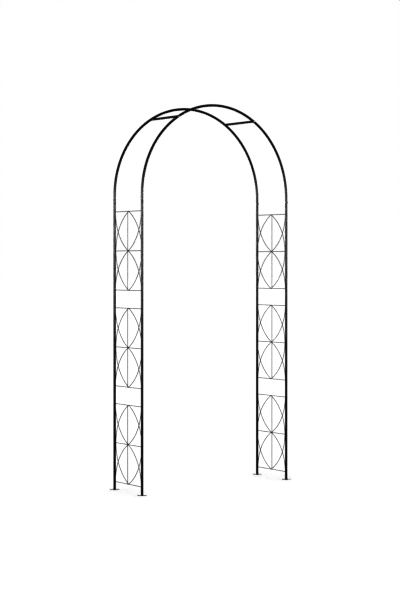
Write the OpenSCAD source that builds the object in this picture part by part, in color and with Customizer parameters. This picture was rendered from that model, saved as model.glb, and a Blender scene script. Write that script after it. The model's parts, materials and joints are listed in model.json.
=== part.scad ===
// Metal trellis arch for a garden path.
// Four posts of plugged tube sections carry two half-round hoops. Wire trellis panels fill
// the sides between the front and rear posts, and two crossbars tie the hoops together.
// +X runs across the path from left to right, +Y along the path from front to rear, +Z up.
// The origin is on the ground, in the middle of the four feet.

/* [Overall] */
// Distance between the left and right post centres
post_spacing = 1135; // [900:5:1500]
// Distance between the front and rear post centres
frame_depth = 300; // [240:5:420]

/* [Tube] */
// Outside diameter of the post and hoop tubes
tube_d = 15; // [13:0.5:19]
// Wall of the post and hoop tubes
tube_wall = 1.2; // [0.8:0.1:1.5]
// Length of the reduced end that plugs into the next tube
spigot_len = 40; // [30:1:60]
// Clearance all round between a reduced end and the tube over it
spigot_gap = 0.15; // [0.05:0.05:0.3]
// Length of the tapered shoulder below a reduced end
shoulder_len = 3; // [2:0.5:5]
// Depth that a crown tube's shoulder is sunk in the tube
shoulder_root = 0.4; // [0.2:0.1:0.8]
// Straight tube left on a hoop end above the plugged length
hoop_tail_extra = 8; // [2:1:60]

/* [Trellis] */
// Diameter of the trellis wire
wire_d = 3.5; // [3:0.5:5]
// Height of one trellis cell, from rail to rail
cell_h = 242; // [170:1:300]
// Height of the open gap between two panels
panel_gap = 110; // [90:1:180]
// Height of the lowest rail above the ground
first_rail_z = 50; // [20:1:100]
// Gap between two wires that are welded where they cross
weld_gap = 0.05; // [0.02:0.01:0.1]

/* [Crossbars] */
// Outside diameter of a crossbar
bar_d = 14; // [10:0.5:15]
// Wall of a crossbar
bar_wall = 1.2; // [0.8:0.1:1.5]
// Angle of a crossbar round the hoop, up from the spring line
bar_angle = 58.5; // [45:0.5:70]
// Clearance between a crossbar's saddle-cut end and the hoop
saddle_gap = 0.1; // [0.05:0.05:0.3]
// Length of the threaded plug in a crossbar end
plug_len = 22; // [15:1:40]
// Clearance all round a threaded plug in the crossbar
plug_gap = 0.05; // [0.02:0.01:0.1]
// Depth of a threaded plug's face behind the crossbar's end
plug_recess = 0.5; // [0.2:0.1:2]

/* [Feet] */
// Diameter of a foot plate
foot_d = 55; // [45:1:80]
// Thickness of a foot plate
foot_t = 3; // [2:0.5:5]
// Number of fixing holes in a foot plate
foot_holes = 3; // [3:1:6]
// Diameter of a fixing hole
foot_hole_d = 6.5; // [5:0.5:8]
// Diameter of the circle that the fixing holes lie on
foot_pcd = 38; // [34:1:60]

/* [Fasteners] */
// Thread diameter of the bolts and screws
bolt_d = 5; // [4:1:6]
// Clearance all round a bolt in a plain hole
bolt_gap = 0.15; // [0.1:0.05:0.4]
// Clearance all round a thread in the hole that it is screwed into
thread_gap = 0.05; // [0.02:0.01:0.1]
// Diameter of a pan head
head_d = 9.5; // [8:0.5:12]
// Height of a pan head
head_h = 3.7; // [2.5:0.1:5]
// Radius of a pan head's domed top
dome_r = 8.5; // [7:0.5:14]
// Length of each arm of the cross recess, tip to tip
recess_l = 4.5; // [3:0.1:6]
// Width of an arm of the cross recess
recess_w = 1.1; // [0.8:0.1:1.6]
// Depth of the cross recess
recess_h = 2; // [1:0.1:2.5]
// Thread of a hoop bolt that stands out on the path side
bolt_end = 0.5; // [0.5:0.5:3]
// Thread that a crossbar screw has in its plug
screw_grip = 15; // [8:1:20]
// Gap between a head and the tube that it bears on
seat_gap = 0.05; // [0.02:0.01:0.1]

/* [Hidden] */
$fn = 64;
SIDES = ["left", "right"];
ROWS = ["front", "rear"];
LEVELS = ["lower", "middle", "upper"];
LAST = len(LEVELS) - 1;

BLACK = "#1b1b1d";
ZINC = "#b9bcc0";

// Tubes
tube_r = tube_d / 2;
bore_r = tube_r - tube_wall;
spigot_r = bore_r - spigot_gap;
spigot_bore_r = spigot_r - tube_wall;
hoop_r = post_spacing / 2;

// Heights: a tube joint lies halfway up the gap above each panel
panel_h = 2 * cell_h;
level_pitch = panel_h + panel_gap;
spring_z = joint_z(LAST) + spigot_len + hoop_tail_extra;
function panel_z(level) = first_rail_z + level * level_pitch;
function joint_z(level) = panel_z(level) + panel_h + panel_gap / 2;

// The angle that a length takes up round a bend, and the hoop's own angles
function arc_angle(length, bend) = length / bend * 180 / PI;
shoulder_angle = arc_angle(shoulder_len, hoop_r);
spigot_angle = arc_angle(spigot_len, hoop_r);
joint_angle = bar_angle + spigot_angle / 2;

// Wires: the rails and horns share the posts' plane, the bows lie on its path side and
// the spine on its outer side. An arc that reaches so far out in one cell has this bend.
wire_r = wire_d / 2;
layer = wire_d + weld_gap;
post_clear = tube_r + wire_r + weld_gap;
horn_reach = frame_depth / 2 - post_clear;
bow_reach = frame_depth / 2 - sqrt(post_clear * post_clear - layer * layer);
function bend_for(reach) = (cell_h * cell_h + reach * reach) / (2 * reach);

// Fasteners
hole_r = bolt_d / 2 + bolt_gap;
shank_r = bolt_d / 2 - thread_gap;

// ---- Placing ----

// Puts a piece of the right-hand side on the side asked for
module on_side(s) {
    mirror([s == "left" ? 1 : 0, 0, 0]) children();
}

// Puts a piece of the rear row in the row asked for
module on_row(f) {
    mirror([0, f == "front" ? 1 : 0, 0]) children();
}

// Stands a piece on the right-hand rear post's axis
module at_post() {
    translate([hoop_r, frame_depth / 2, 0]) children();
}

// Moves a flat hoop piece into the rear hoop's upright plane
module in_hoop() {
    translate([0, frame_depth / 2, spring_z]) rotate([90, 0, 0]) children();
}

// Puts a piece on the right-hand crossbar's axis, +X pointing out from the hoop's centre
module at_bar() {
    translate([0, 0, spring_z]) rotate([0, -bar_angle, 0]) translate([hoop_r, 0, 0]) children();
}

// Turns a piece that stands along +Z so that it points along +X
module along_x() {
    rotate([0, 90, 0]) children();
}

// Turns a piece that stands along +Z so that it points along +Y
module along_y() {
    rotate([-90, 0, 0]) children();
}

// ---- Posts ----

// One post section from z0 to its joint, with the reduced end above it
module post_section(z0, z_joint) {
    z_shoulder = z_joint - shoulder_len;
    z_top = z_joint + spigot_len;
    rotate_extrude()
        polygon([
            [bore_r, z0], [tube_r, z0],
            [tube_r, z_shoulder], [spigot_r, z_joint],
            [spigot_r, z_top], [spigot_bore_r, z_top],
            [spigot_bore_r, z_joint], [bore_r, z_shoulder]
        ]);
}

// The hole for a hoop bolt, plain on the outer side and threaded on the path side
module hoop_bolt_hole() {
    translate([0, 0, joint_z(LAST) + spigot_len / 2])
        along_x() {
            cylinder(h = tube_d, r = hole_r);
            translate([0, 0, -tube_d]) cylinder(h = tube_d, d = bolt_d);
        }
}

module leg(s, f, level) {
    z0 = level == 0 ? foot_t : joint_z(level - 1);
    color(BLACK) on_side(s) on_row(f) at_post()
        difference() {
            post_section(z0, joint_z(level));
            if (level == LAST) hoop_bolt_hole();
        }
}

module foot(s, f) {
    color(BLACK) on_side(s) on_row(f) at_post()
        difference() {
            cylinder(h = foot_t, d = foot_d);
            for (i = [0 : foot_holes - 1])
                rotate([0, 0, i * 360 / foot_holes])
                    translate([foot_pcd / 2, 0, -foot_t])
                        cylinder(h = 3 * foot_t, d = foot_hole_d);
        }
}

// ---- Hoops ----

// A round rod lying flat and bent about the origin, between two angles
module bent_rod(bend, a0, a1, rod_r) {
    rotate([0, 0, a0])
        rotate_extrude(angle = a1 - a0)
            translate([bend, 0]) circle(r = rod_r);
}

// The hole for a crossbar screw, through a hoop lying flat
module bar_screw_hole() {
    rotate([0, 0, bar_angle])
        translate([hoop_r, 0, 0])
            cylinder(h = 2 * tube_d, r = hole_r, center = true);
}

module hoop_side(s, f) {
    tail = spring_z - joint_z(LAST);
    color(BLACK) on_side(s) on_row(f)
        difference() {
            union() {
                in_hoop() bent_rod(hoop_r, 0, joint_angle, tube_r);
                at_post() translate([0, 0, spring_z - tail]) cylinder(h = tail, r = tube_r);
            }
            in_hoop() bent_rod(hoop_r, 0, joint_angle + spigot_angle, bore_r);
            at_post() translate([0, 0, spring_z - 2 * tail]) cylinder(h = 2 * tail, r = bore_r);
            in_hoop() bar_screw_hole();
            at_post() hoop_bolt_hole();
        }
}

// The tapered shoulder on the right-hand end of a crown tube, its root sunk in the tube
module crown_shoulder(a_body) {
    slope = (tube_r - spigot_r) / shoulder_len;
    tip_r = spigot_r - tube_wall / 2;
    root_r = tube_r - shoulder_root * slope;
    rotate([0, 0, a_body]) translate([hoop_r, shoulder_root, 0]) rotate([90, 0, 0])
        cylinder(h = (root_r - tip_r) / slope, r1 = root_r, r2 = tip_r);
}

// The middle of a hoop: a bent tube with a reduced end at each side
module hoop_crown(f) {
    a_body = joint_angle + shoulder_angle;
    a_end = joint_angle - spigot_angle;
    a_bore = a_body + 2 * shoulder_angle;
    color(BLACK) on_row(f) in_hoop()
        difference() {
            union() {
                bent_rod(hoop_r, a_body, 180 - a_body, tube_r);
                bent_rod(hoop_r, a_end, 180 - a_end, spigot_r);
                crown_shoulder(a_body);
                mirror([1, 0, 0]) crown_shoulder(a_body);
            }
            bent_rod(hoop_r, a_bore, 180 - a_bore, bore_r);
            bent_rod(hoop_r, 0, 180, spigot_bore_r);
            bar_screw_hole();
            mirror([1, 0, 0]) bar_screw_hole();
        }
}

// ---- Crossbars ----

module crossbar(s) {
    color(BLACK) on_side(s) at_bar()
        difference() {
            along_y() cylinder(h = frame_depth, d = bar_d, center = true);
            along_y() cylinder(h = 2 * frame_depth, d = bar_d - 2 * bar_wall, center = true);
            for (y = [-1, 1])
                translate([0, y * frame_depth / 2, 0])
                    cylinder(h = 3 * bar_d, r = tube_r + saddle_gap, center = true);
        }
}

// ---- Trellis panels ----

// Stands a panel piece drawn flat (x to the rear, y up) in the right-hand panel's plane,
// pushed out from the path by so many wire layers
module in_panel(level, layers) {
    translate([hoop_r + layers * layer, 0, panel_z(level) + cell_h])
        rotate([90, 0, 90]) children();
}

module rails(s, level) {
    length = frame_depth - 2 * (tube_r + weld_gap);
    color(BLACK) on_side(s)
        for (i = [-1 : 1])
            in_panel(level, 0) translate([0, i * cell_h, 0])
                along_x() cylinder(h = length, d = wire_d, center = true);
}

module spine(s, level) {
    color(BLACK) on_side(s) in_panel(level, 1)
        along_y() cylinder(h = panel_h + wire_d, d = wire_d, center = true);
}

// A long bow on each side of the spine, from the top rail to the bottom rail. The two
// are mitred where their tips meet.
module bows(s, level) {
    bend = bend_for(bow_reach);
    tip = acos(1 - bow_reach / bend) + arc_angle(wire_d, bend);
    color(BLACK) on_side(s) in_panel(level, -1)
        for (side = [0, 1])
            mirror([side, 0, 0])
                difference() {
                    translate([bow_reach - bend, 0, 0]) bent_rod(bend, -tip, tip, wire_r);
                    translate([weld_gap / 2 - bend, -2 * cell_h, -wire_d])
                        cube([bend, 4 * cell_h, 2 * wire_d]);
                }
}

// Four half bows that spread from the middle of the panel to its corners, each cut off
// at the rails and against its neighbour
module horns(s, level) {
    bend = bend_for(horn_reach);
    tip = acos(1 - horn_reach / bend) + arc_angle(wire_d, bend);
    near_rail = wire_r + weld_gap;
    color(BLACK) on_side(s) in_panel(level, 0)
        for (side = [0, 1], half = [0, 1])
            mirror([side, 0, 0]) mirror([0, half, 0])
                intersection() {
                    translate([horn_reach - bend, cell_h, 0]) bent_rod(bend, -tip, tip, wire_r);
                    translate([weld_gap / 2, near_rail, -wire_d])
                        cube([frame_depth, cell_h - 2 * near_rail, 2 * wire_d]);
                }
}

// ---- Fasteners ----

// A pan head standing on z = 0, its shank hanging below
module pan_screw(length) {
    difference() {
        union() {
            intersection() {
                cylinder(h = head_h, d = head_d);
                translate([0, 0, head_h - dome_r]) sphere(r = dome_r);
            }
            translate([0, 0, -length]) cylinder(h = length + head_h / 4, r = shank_r);
        }
        for (a = [0, 90])
            rotate([0, 0, a])
                translate([-recess_l / 2, -recess_w / 2, head_h - recess_h])
                    cube([recess_l, recess_w, head_h]);
    }
}

module hoop_bolts() {
    length = tube_d + seat_gap + bolt_end;
    color(ZINC)
        for (s = SIDES, f = ROWS)
            on_side(s) on_row(f) at_post()
                translate([tube_r + seat_gap, 0, joint_z(LAST) + spigot_len / 2])
                    along_x() pan_screw(length);
}

module crossbar_screws() {
    length = tube_d + seat_gap + saddle_gap + plug_recess + screw_grip;
    color(ZINC)
        for (s = SIDES, f = ROWS)
            on_side(s) on_row(f) at_bar()
                translate([0, frame_depth / 2 + tube_r + seat_gap, 0])
                    along_y() pan_screw(length);
}

module crossbar_plugs() {
    face = frame_depth / 2 - tube_r - saddle_gap - plug_recess;
    color(ZINC)
        for (s = SIDES, f = ROWS)
            on_side(s) on_row(f) at_bar()
                translate([0, face - plug_len, 0])
                    along_y()
                        difference() {
                            cylinder(h = plug_len, r = bar_d / 2 - bar_wall - plug_gap);
                            translate([0, 0, -plug_len])
                                cylinder(h = 3 * plug_len, d = bolt_d);
                        }
}

// ---- Assembly ----

for (s = SIDES, f = ROWS, i = [0 : LAST])
    leg(s, f, i);
for (s = SIDES, f = ROWS)
    foot(s, f);
for (s = SIDES, f = ROWS)
    hoop_side(s, f);
for (f = ROWS)
    hoop_crown(f);
for (s = SIDES)
    crossbar(s);
for (s = SIDES, i = [0 : LAST])
    rails(s, i);
for (s = SIDES, i = [0 : LAST])
    spine(s, i);
for (s = SIDES, i = [0 : LAST])
    bows(s, i);
for (s = SIDES, i = [0 : LAST])
    horns(s, i);
hoop_bolts();
crossbar_screws();
crossbar_plugs();
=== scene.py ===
import json
import math

import bpy
from mathutils import Matrix, Vector


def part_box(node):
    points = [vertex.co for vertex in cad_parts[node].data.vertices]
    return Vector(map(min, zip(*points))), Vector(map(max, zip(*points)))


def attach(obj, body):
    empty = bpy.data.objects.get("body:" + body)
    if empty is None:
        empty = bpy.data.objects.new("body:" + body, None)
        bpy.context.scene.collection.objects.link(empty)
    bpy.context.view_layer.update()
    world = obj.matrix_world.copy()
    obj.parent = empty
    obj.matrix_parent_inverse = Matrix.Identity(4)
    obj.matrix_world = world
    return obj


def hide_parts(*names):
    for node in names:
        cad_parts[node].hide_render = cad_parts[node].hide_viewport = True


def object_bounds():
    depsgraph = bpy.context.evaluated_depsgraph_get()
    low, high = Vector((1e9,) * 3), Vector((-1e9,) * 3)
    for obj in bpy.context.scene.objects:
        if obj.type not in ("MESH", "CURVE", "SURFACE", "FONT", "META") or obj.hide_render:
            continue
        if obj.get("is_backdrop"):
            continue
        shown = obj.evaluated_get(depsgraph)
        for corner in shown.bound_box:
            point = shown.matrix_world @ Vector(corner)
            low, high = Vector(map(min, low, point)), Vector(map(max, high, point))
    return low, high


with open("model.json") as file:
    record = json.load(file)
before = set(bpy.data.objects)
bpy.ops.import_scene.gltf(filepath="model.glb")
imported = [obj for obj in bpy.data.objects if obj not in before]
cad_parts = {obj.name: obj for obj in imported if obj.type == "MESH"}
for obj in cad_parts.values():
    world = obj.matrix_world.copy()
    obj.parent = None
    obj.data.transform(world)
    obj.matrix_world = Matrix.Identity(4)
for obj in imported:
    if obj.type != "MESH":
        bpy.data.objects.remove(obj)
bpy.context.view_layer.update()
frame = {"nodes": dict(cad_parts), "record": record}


# The camera
# It stands front left of the arch at standing height and looks level, so the posts stay
# upright in the picture. A small shift brings the feet into the frame.
camera_yaw = math.radians(36.7)
camera_distance = 9.672
camera_side = -0.015
camera_height = 1.411
camera_lens = 91.37
camera_shift = -0.0632
looking = Vector((math.sin(camera_yaw), math.cos(camera_yaw), 0))
rightward = Vector((math.cos(camera_yaw), -math.sin(camera_yaw), 0))

camera = bpy.data.objects.new("camera", bpy.data.cameras.new("camera"))
bpy.context.scene.collection.objects.link(camera)
camera.location = rightward * camera_side - looking * camera_distance
camera.location.z = camera_height
camera.rotation_euler = (math.pi / 2, 0, -camera_yaw)
camera.data.sensor_width = 36
camera.data.lens = camera_lens
camera.data.shift_y = camera_shift
bpy.context.scene.camera = camera


# The posts
# Each is three sections of 15 mm thin-walled steel tube. The top end of a section is
# swaged down to plug into the next. All are sprayed with black powder and baked.
def linear(code):
    """An sRGB hex colour as the linear values that a shader takes."""
    parts = [int(code[i:i + 2], 16) / 255 for i in (1, 3, 5)]
    return [p / 12.92 if p <= 0.04045 else ((p + 0.055) / 1.055) ** 2.4 for p in parts] + [1]


def add(tree, kind, settings, links):
    """Adds a shader node with its settings (by input or property name) and its links."""
    node = tree.nodes.new("ShaderNode" + kind)
    for name, value in settings.items():
        if name in node.inputs:
            node.inputs[name].default_value = value
        else:
            setattr(node, name, value)
    for name, socket in links.items():
        tree.links.new(socket, node.inputs[name])
    return node


def new_material(name):
    """An empty node material, its tree and its output."""
    material = bpy.data.materials.new(name)
    material.use_nodes = True
    material.node_tree.nodes.clear()
    return material, material.node_tree, add(material.node_tree, "OutputMaterial", {}, {})


# Satin black polyester powder coat, baked on steel. The powder flows out with a fine
# orange peel about 2 mm across, and lies a little thicker and glossier in places.
def powder_coat():
    material, tree, output = new_material("satin_black_powder_coat")
    peel = 0.002
    grit = peel / 3
    cloud = 0.09
    place = add(tree, "TexCoord", {}, {}).outputs["Object"]
    thick = add(tree, "TexNoise", {"Scale": 1 / cloud, "Detail": 3}, {"Vector": place})
    bumps = add(tree, "TexNoise", {"Scale": 1 / peel, "Detail": 2}, {"Vector": place})
    grain = add(tree, "TexNoise", {"Scale": 1 / grit, "Detail": 1}, {"Vector": place})
    colour = add(tree, "MixRGB", {"Color1": linear("#101012"), "Color2": linear("#19191b")},
                 {"Fac": thick.outputs["Fac"]})
    rough = add(tree, "MapRange",
                {"From Min": 0.3, "From Max": 0.7, "To Min": 0.3, "To Max": 0.38},
                {"Value": thick.outputs["Fac"]})
    fine = add(tree, "Bump", {"Strength": 0.2, "Distance": 0.00002},
               {"Height": grain.outputs["Fac"]})
    relief = add(tree, "Bump", {"Strength": 0.35, "Distance": 0.00008},
                 {"Height": bumps.outputs["Fac"], "Normal": fine.outputs["Normal"]})
    shader = add(tree, "BsdfPrincipled", {"IOR": 1.5, "Specular IOR Level": 0.4},
                 {"Base Color": colour.outputs["Color"], "Roughness": rough.outputs["Result"],
                  "Normal": relief.outputs["Normal"]})
    tree.links.new(shader.outputs["BSDF"], output.inputs["Surface"])
    return material


black = powder_coat()
nodes = frame["nodes"]
sides = ("left", "right")
rows = ("front", "rear")
levels = ("lower", "middle", "upper")


def wear(node, material):
    """Puts a material on every slot of a CAD node."""
    for slot in nodes[node].material_slots:
        slot.material = material


for side in sides:
    for row in rows:
        for level in levels:
            wear(f"{side}_{row}_{level}_leg", black)


# The foot plates
# A round plate of 3 mm steel under each post, laser cut with three peg holes and tumbled,
# so that its rims are softly rounded. A bead of overlapping weld puddles holds the post.
def start(name):
    """The piece just added, renamed, with nothing else selected."""
    piece = bpy.context.object
    piece.name = name
    return piece


def alone(piece):
    """Makes a piece the only one selected, and the active one."""
    bpy.ops.object.select_all(action="DESELECT")
    piece.select_set(True)
    bpy.context.view_layer.objects.active = piece


def finish_with(piece, kind, **settings):
    """Gives a piece a modifier and applies it."""
    alone(piece)
    modifier = piece.modifiers.new(kind.lower(), kind)
    for name, value in settings.items():
        setattr(modifier, name, value)
    bpy.ops.object.modifier_apply(modifier=modifier.name)


def cut(piece, tool):
    """Cuts a piece with a tool, which is used up."""
    finish_with(piece, "BOOLEAN", object=tool, operation="DIFFERENCE", solver="EXACT")
    bpy.data.objects.remove(tool)


def copy_of(pattern, name, matrix):
    """A copy of a pattern piece with its own mesh, moved into place in its mesh."""
    piece = bpy.data.objects.new(name, pattern.data.copy())
    piece.data.transform(matrix)
    bpy.context.scene.collection.objects.link(piece)
    return piece


def joined(pieces, name):
    """Several pieces as one."""
    alone(pieces[0])
    for piece in pieces:
        piece.select_set(True)
    bpy.ops.object.join()
    return start(name)


def coat(piece, material):
    """Puts a new piece's finish on, and fixes the piece to the arch."""
    piece.data.materials.clear()
    piece.data.materials.append(material)
    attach(piece, "root")


plate_low, plate_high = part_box("right_rear_foot")
plate_radius = (plate_high.x - plate_low.x) / 2
plate_thick = plate_high.z - plate_low.z
plate_rim = 0.0006
plate_facets = 128
hole_facets = 48
hard_edge = math.radians(40)
holes = next(m for m in frame["record"]["mounts"] if m["name"] == "right_rear_foot_holes")["dims"]
hole_circle = holes["pcd_mm"] / 2 / 1000
hole_radius = holes["hole_r_mm"] / 1000
post_low, post_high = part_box("right_rear_lower_leg")
post_radius = (post_high.x - post_low.x) / 2

bpy.ops.object.select_all(action="DESELECT")
bpy.ops.mesh.primitive_cylinder_add(vertices=plate_facets, radius=plate_radius, depth=plate_thick,
                                    location=(0, 0, plate_thick / 2))
plate = start("plate_pattern")
for turn in range(holes["count"]):
    angle = turn * 2 * math.pi / holes["count"]
    bpy.ops.mesh.primitive_cylinder_add(
        vertices=hole_facets, radius=hole_radius, depth=3 * plate_thick,
        location=(hole_circle * math.cos(angle), hole_circle * math.sin(angle), 0))
    cut(plate, start("hole_cutter"))
alone(plate)
bpy.ops.object.transform_apply(location=True, rotation=True, scale=True)
finish_with(plate, "BEVEL", width=plate_rim, segments=3, limit_method="ANGLE",
            angle_limit=hard_edge)
bpy.ops.object.shade_smooth_by_angle(angle=hard_edge)
finish_with(plate, "WEIGHTED_NORMAL", keep_sharp=True)

puddle_count = 25
puddle_radius = 0.0019
puddle_shape = (1.1, 0.9, 0.7)
puddle_uneven = 0.0001
puddle_change = 0.06
puddle_seat = post_radius + 0.0009
puddle_lift = 0.0006
puddle_lean = math.radians(40)
bpy.ops.object.select_all(action="DESELECT")
bpy.ops.mesh.primitive_uv_sphere_add(segments=12, ring_count=8, radius=puddle_radius)
puddle = start("puddle_pattern")
bpy.ops.object.mode_set(mode="EDIT")
bpy.ops.mesh.select_all(action="SELECT")
bpy.ops.transform.resize(value=puddle_shape)
bpy.ops.transform.vertex_random(offset=puddle_uneven, seed=3)
bpy.ops.object.mode_set(mode="OBJECT")
bpy.ops.object.shade_smooth()
lean = Matrix.Rotation(puddle_lean, 4, "Y")
bead = []
for turn in range(puddle_count):
    around = Matrix.Rotation(turn * 2 * math.pi / puddle_count, 4, "Z")
    out = Matrix.Translation((puddle_seat, 0, plate_thick + puddle_lift))
    size = Matrix.Scale(1 + puddle_change * math.sin(turn * 2.4), 4)
    bead.append(copy_of(puddle, "puddle", around @ out @ lean @ size))
bead = joined(bead, "bead_pattern")

for side in sides:
    for row in rows:
        low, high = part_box(f"{side}_{row}_foot")
        facing = Matrix.Rotation(math.pi if side == "left" else 0, 4, "Z")
        place = Matrix.Translation(((low.x + high.x) / 2, (low.y + high.y) / 2, low.z)) @ facing
        foot = copy_of(plate, f"{side}_{row}_foot_plate", place)
        coat(foot, black)
        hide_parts(f"{side}_{row}_foot")
        coat(copy_of(bead, f"{side}_{row}_foot_weld", place), black)
for pattern in (plate, puddle, bead):
    bpy.data.objects.remove(pattern)


# The trellis panels
# Rails, spine, bows and half bows (horns) of 3.5 mm steel wire. They are tacked to each
# other and to the posts with small weld nuggets, and coated together with them.
for side in sides:
    for level in levels:
        for piece in ("rails", "spine", "bows", "horns"):
            wear(f"{side}_{level}_{piece}", black)

bpy.ops.object.select_all(action="DESELECT")
bpy.ops.mesh.primitive_ico_sphere_add(subdivisions=2, radius=1)
nugget = start("nugget_pattern")
bpy.ops.object.mode_set(mode="EDIT")
bpy.ops.mesh.select_all(action="SELECT")
bpy.ops.transform.vertex_random(offset=0.09, seed=7)
bpy.ops.object.mode_set(mode="OBJECT")
bpy.ops.object.shade_smooth()


# Half the depth, width and height of each kind of nugget, in radii of the wire.
middle_knot = (1.9, 2.6, 2.4)
middle_spine = (1.5, 1.7, 1.7)
end_knot = (1.9, 2.4, 1.8)
end_spine = (1.6, 1.6, 1.5)
rail_end = (1.7, 1.2, 1.7)
bow_on_post = (1.5, 1.2, 3.2)
horn_on_post = (1.3, 1.2, 3.2)
bow_on_horn = (1.4, 1.2, 2.4)
nugget_turn = 0.9


def tack(name, place, size, turn):
    """One weld nugget, as a puddle that froze where two wires meet."""
    spin = Matrix.Rotation(turn, 4, "X")
    stretch = Matrix.Diagonal((*size, 1))
    return copy_of(nugget, name, Matrix.Translation(place) @ stretch @ spin)


for side in sides:
    out = -1 if side == "left" else 1
    for level in levels:
        rail_low, rail_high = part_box(f"{side}_{level}_rails")
        bow_low, bow_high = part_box(f"{side}_{level}_bows")
        horn_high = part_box(f"{side}_{level}_horns")[1]
        plane = (rail_low.x + rail_high.x) / 2
        wire = (rail_high.x - rail_low.x) / 2
        layer = abs((bow_low.x + bow_high.x) / 2 - plane)
        outer = plane + out * layer / 2
        inner = plane - out * layer / 2
        middle = (rail_low.z + rail_high.z) / 2
        half = (rail_high.z - rail_low.z) / 2 - wire
        reach = bow_high.y - wire
        bend = (half ** 2 + reach ** 2) / (2 * reach)
        crossing = reach - bend + math.sqrt(bend ** 2 - (half / 2) ** 2)
        tacks = [((plane, 0, middle), middle_knot), ((outer, 0, middle), middle_spine)]
        for up in (-1, 1):
            knot = middle + up * (half - 0.3 * wire)
            tacks.append(((inner, 0, knot), end_knot))
            tacks.append(((outer, 0, knot), end_spine))
        for across in (-1, 1):
            wall = across * rail_high.y
            bow_wall = across * (bow_high.y - 0.4 * wire)
            horn_wall = across * (horn_high.y - 0.5 * wire)
            for up in (-1, 0, 1):
                tacks.append(((plane, wall, middle + up * half), rail_end))
            tacks.append(((plane - out * 0.6 * layer, bow_wall, middle), bow_on_post))
            for up in (-1, 1):
                tacks.append(((plane, horn_wall, middle + up * (half - 4 * wire)), horn_on_post))
                tacks.append(((inner, across * crossing, middle + up * half / 2), bow_on_horn))
        blobs = []
        for i, (place, shares) in enumerate(tacks):
            size = [share * wire for share in shares]
            blobs.append(tack("tack", place, size, nugget_turn * i))
        coat(joined(blobs, f"{side}_{level}_tack_welds"), black)
bpy.data.objects.remove(nugget)


# The hoops
# Two side tubes and a crown tube to each, roll bent from the posts' tube. The crown's
# swaged ends plug into the sides.
for row in rows:
    for side in sides:
        wear(f"{side}_{row}_hoop_side", black)
    wear(f"{row}_hoop_crown", black)


# The crossbars
# Straight 14 mm tube whose ends are cut to saddle the hoops, with a threaded steel plug
# pressed into each end for the screw.
for side in sides:
    wear(f"{side}_crossbar", black)


# The fasteners
# M5 steel with a bright zinc plate and a cross recess in a pan head: bolts that cross the
# hoop joints and are threaded in their path side, and screws into the crossbars' ends.
#
# Electroplated zinc is a soft bright grey, faintly clouded where the bath ran.
def zinc_plate():
    material, tree, output = new_material("bright_zinc_plate")
    cloud = 0.0015
    place = add(tree, "TexCoord", {}, {}).outputs["Object"]
    mottle = add(tree, "TexNoise", {"Scale": 1 / cloud, "Detail": 3}, {"Vector": place})
    colour = add(tree, "MixRGB", {"Color1": linear("#a9adb1"), "Color2": linear("#cfd1ce")},
                 {"Fac": mottle.outputs["Fac"]})
    rough = add(tree, "MapRange", {"To Min": 0.3, "To Max": 0.48}, {"Value": mottle.outputs["Fac"]})
    shader = add(tree, "BsdfPrincipled", {"Metallic": 1},
                 {"Base Color": colour.outputs["Color"], "Roughness": rough.outputs["Result"]})
    tree.links.new(shader.outputs["BSDF"], output.inputs["Surface"])
    return material


zinc = zinc_plate()
wear("crossbar_plugs", zinc)

shank_radius = 0.0025
neck_length = 0.002
neck_taper = 0.0005
thread_pitch = 0.0008
thread_deep = 0.00049
thread_overlap = 0.0002
thread_facets = 32
tip_chamfer = 0.0004
head_radius = 0.00475
head_height = 0.0037
head_dome = 0.0085
head_facets = 48
dome_steps = 8
edge_chamfer = 0.0002
shoulder = 0.0003
recess_radius = 0.0033
recess_depth = 0.0032
recess_sink = 0.0009
recess_width = 0.24


def turned(name, profile, steps):
    """A piece turned on a lathe about Z, from its profile of (radius, height) points."""
    bpy.ops.object.select_all(action="DESELECT")
    bpy.ops.mesh.primitive_plane_add(size=1)
    piece = start(name)
    piece.data.clear_geometry()
    edges = [(i, i + 1) for i in range(len(profile) - 1)]
    piece.data.from_pydata([(r, 0, z) for r, z in profile], edges, [])
    bpy.ops.object.mode_set(mode="EDIT")
    bpy.ops.mesh.select_all(action="SELECT")
    bpy.ops.mesh.spin(steps=steps, angle=2 * math.pi, center=(0, 0, 0), axis=(0, 0, 1))
    bpy.ops.mesh.select_all(action="SELECT")
    bpy.ops.mesh.remove_doubles(threshold=0.000005)
    bpy.ops.mesh.normals_make_consistent(inside=False)
    bpy.ops.object.mode_set(mode="OBJECT")
    return piece


def pan_head():
    """The head, standing on Z = 0, with its cross recess."""
    side_height = head_height - head_dome + math.sqrt(head_dome ** 2 - head_radius ** 2)
    profile = [(0, 0), (head_radius - edge_chamfer, 0), (head_radius, edge_chamfer),
               (head_radius, side_height - shoulder)]
    for i in range(dome_steps + 1):
        r = (head_radius - edge_chamfer) * (1 - i / dome_steps)
        profile.append((r, head_height - head_dome + math.sqrt(head_dome ** 2 - r ** 2)))
    head = turned("head", profile, head_facets)
    for turn in (0, math.pi / 2):
        bpy.ops.mesh.primitive_cone_add(
            vertices=4, radius1=0.0001, radius2=recess_radius, depth=recess_depth,
            location=(0, 0, head_height - recess_sink), rotation=(0, 0, math.pi / 4))
        wing = start("wing")
        bpy.ops.object.transform_apply(location=True, rotation=True, scale=True)
        wing.data.transform(Matrix.Rotation(turn, 4, "Z") @ Matrix.Diagonal((1, recess_width, 1, 1)))
        cut(head, wing)
    return head


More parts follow.
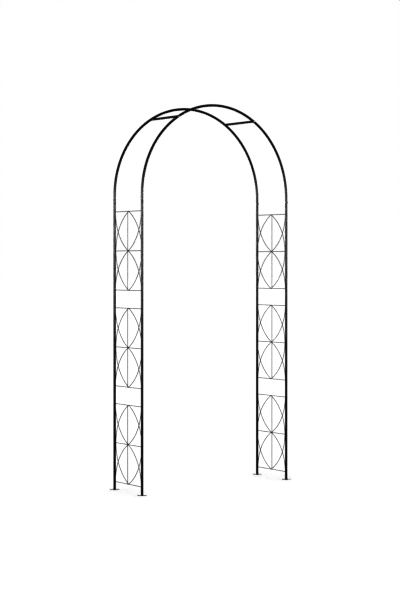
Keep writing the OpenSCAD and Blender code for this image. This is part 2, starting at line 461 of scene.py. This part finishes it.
def thread(length):
    """A helical M5 thread that ends in a chamfered tip, hanging below Z = 0."""
    root = shank_radius - thread_deep
    shank = [(0, 0), (shank_radius, 0), (shank_radius, -neck_length),
             (root, -neck_length - neck_taper), (root, -length + tip_chamfer),
             (root - tip_chamfer, -length), (0, -length)]
    core = turned("core", shank, thread_facets)
    turns = int((length - neck_length - 2 * neck_taper) / thread_pitch)
    bpy.ops.object.select_all(action="DESELECT")
    bpy.ops.mesh.primitive_plane_add(size=1)
    helix = start("helix")
    helix.data.clear_geometry()
    flank = 0.44 * thread_pitch
    crest = 0.05 * thread_pitch
    profile = [(root - thread_overlap, -flank), (shank_radius, -crest),
               (shank_radius, crest), (root - thread_overlap, flank)]
    helix.data.from_pydata([(r, 0, z) for r, z in profile], [(0, 1), (1, 2), (2, 3)], [])
    finish_with(helix, "SCREW", axis="Z", angle=2 * math.pi, screw_offset=thread_pitch,
                iterations=turns, steps=thread_facets, render_steps=thread_facets,
                use_normal_calculate=True)
    helix.data.transform(Matrix.Translation((0, 0, -length + tip_chamfer)))
    return joined([core, helix], "thread")


bolt_low, bolt_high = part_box("hoop_bolts")
screw_low, screw_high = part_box("crossbar_screws")
head_gap = 0.00005
seat = post_radius + head_gap
bolt_end = 0.0005
bolt_length = 2 * post_radius + head_gap + bolt_end
screw_length = 0.0307
crease = math.radians(32)

bolt = joined([pan_head(), thread(bolt_length)], "bolt_pattern")
bpy.ops.object.shade_smooth_by_angle(angle=crease)
screw = joined([pan_head(), thread(screw_length)], "screw_pattern")
bpy.ops.object.shade_smooth_by_angle(angle=crease)

joint_height = (bolt_low.z + bolt_high.z) / 2
bar_height = (screw_low.z + screw_high.z) / 2
bar_side = screw_high.x - head_radius
sets = {"hoop_bolt": [], "crossbar_screw": []}
for side in sides:
    for row in rows:
        low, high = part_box(f"{side}_{row}_upper_leg")
        axis = Vector(((low.x + high.x) / 2, (low.y + high.y) / 2, joint_height))
        outward = Matrix.Rotation(math.copysign(math.pi / 2, axis.x), 4, "Y")
        away = Matrix.Rotation(-math.copysign(math.pi / 2, axis.y), 4, "X")
        stand = Matrix.Translation((0, 0, seat))
        sets["hoop_bolt"].append(copy_of(bolt, "bolt", Matrix.Translation(axis) @ outward @ stand))
        bar_end = Vector((math.copysign(bar_side, axis.x), axis.y, bar_height))
        sets["crossbar_screw"].append(
            copy_of(screw, "screw", Matrix.Translation(bar_end) @ away @ stand))
for kind, pieces in sets.items():
    group = joined(pieces, f"{kind}_set")
    coat(group, zinc)
    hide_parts(f"{kind}s")
for pattern in (bolt, screw):
    bpy.data.objects.remove(pattern)


# The floor
# Plain pale studio paper, lit evenly so that it meets the backdrop without a line.
def studio_paper():
    material, tree, output = new_material("pale_studio_paper")
    shader = add(tree, "BsdfDiffuse", {"Color": linear("#fbfbfb")}, {})
    tree.links.new(shader.outputs["BSDF"], output.inputs["Surface"])
    return material


bpy.ops.mesh.primitive_plane_add(size=200, location=(0, 0, 0))
floor = start("studio_floor")
floor.data.materials.append(studio_paper())
floor.visible_glossy = False
floor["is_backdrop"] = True


# The light
# A white room lights the floor evenly and is seen behind the arch, but hardly shows in the
# gloss. What the tubes mirror is a band of long low soft boxes at head height, so that the
# upright tubes are grey at the top and black at the feet, and the bent hoops stay black. The
# box behind shows in the tops of the foot plates.
world = bpy.data.worlds.new("white_room")
bpy.context.scene.world = world
world.use_nodes = True
world.node_tree.nodes.clear()
ray = add(world.node_tree, "LightPath", {}, {})
white = linear("#ffffff")
backdrop = add(world.node_tree, "Background", {"Color": white, "Strength": 1}, {})
room = add(world.node_tree, "Background", {"Color": white, "Strength": 1.1}, {})
dusk = add(world.node_tree, "Background", {"Color": white, "Strength": 0.02}, {})
lit = add(world.node_tree, "MixShader", {}, {"Fac": ray.outputs["Is Glossy Ray"]})
seen = add(world.node_tree, "MixShader", {}, {"Fac": ray.outputs["Is Camera Ray"]})
world.node_tree.links.new(room.outputs["Background"], lit.inputs[1])
world.node_tree.links.new(dusk.outputs["Background"], lit.inputs[2])
world.node_tree.links.new(lit.outputs["Shader"], seen.inputs[1])
world.node_tree.links.new(backdrop.outputs["Background"], seen.inputs[2])
add(world.node_tree, "OutputWorld", {}, {"Surface": seen.outputs["Shader"]})


box_distance = 6
box_middle = 1.9


def soft_box(name, turn, size, power):
    """A long low lamp that faces the arch, turned about it from the camera's side. It shows
    only in the gloss."""
    lamp = bpy.data.objects.new(name, bpy.data.lights.new(name, "AREA"))
    lamp.data.shape = "RECTANGLE"
    lamp.data.size = size[0]
    lamp.data.size_y = size[1]
    lamp.data.energy = power
    away = Matrix.Rotation(math.radians(turn), 3, "Z") @ -looking
    lamp.location = away * box_distance
    lamp.location.z = box_middle
    lamp.rotation_euler = (-away).to_track_quat("-Z", "Y").to_euler()
    lamp.visible_diffuse = False
    lamp.visible_camera = False
    bpy.context.scene.collection.objects.link(lamp)


soft_box("front_soft_box", 10, (4.8, 0.9), 360)
soft_box("left_soft_box", -37, (5.4, 0.9), 405)
soft_box("bolt_soft_box", -87, (5.4, 0.9), 184)
soft_box("right_soft_box", 52, (4.2, 0.9), 154)
soft_box("back_soft_box", 180, (5, 1.4), 210)

bpy.context.scene.view_settings.view_transform = "Standard"
bpy.context.scene.view_settings.gamma = 0.48

low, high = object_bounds()
